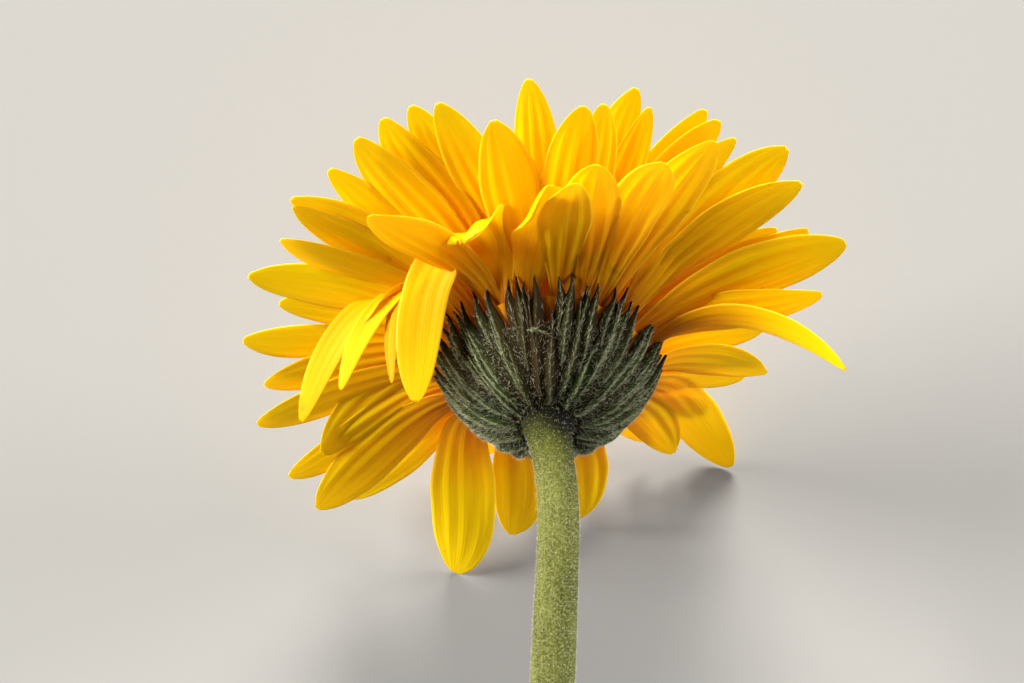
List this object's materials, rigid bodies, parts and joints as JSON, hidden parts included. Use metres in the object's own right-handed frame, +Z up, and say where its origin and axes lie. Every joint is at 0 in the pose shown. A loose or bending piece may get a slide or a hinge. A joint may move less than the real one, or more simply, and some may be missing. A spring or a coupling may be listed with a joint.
{
  "type": "cut gerbera daisy",
  "caption": "Cut gerbera daisy with layered yellow ray petals, a woolly green cup and a bare downy stalk, lying on a table with its face turned down.",
  "frame": {"origin": "centre of the bounding box on the table that the flower lies on", "axes": "+Z up from the table, +Y from the cut end of the stalk towards the flower's head, +X to the right as seen from behind the head"},
  "size_m": [0.0969, 0.3263, 0.0795],
  "materials": {
    "petal": "satin",
    "inner_strap": "satin",
    "disc": "matte",
    "bracts": "matte",
    "stalk": "matte"
  },
  "bodies": {
    "root": {"ray_florets": "petal", "trans_florets": "inner_strap", "disc_florets": "disc", "involucre": "bracts", "stem": "stalk"}
  },
  "joints": []
}
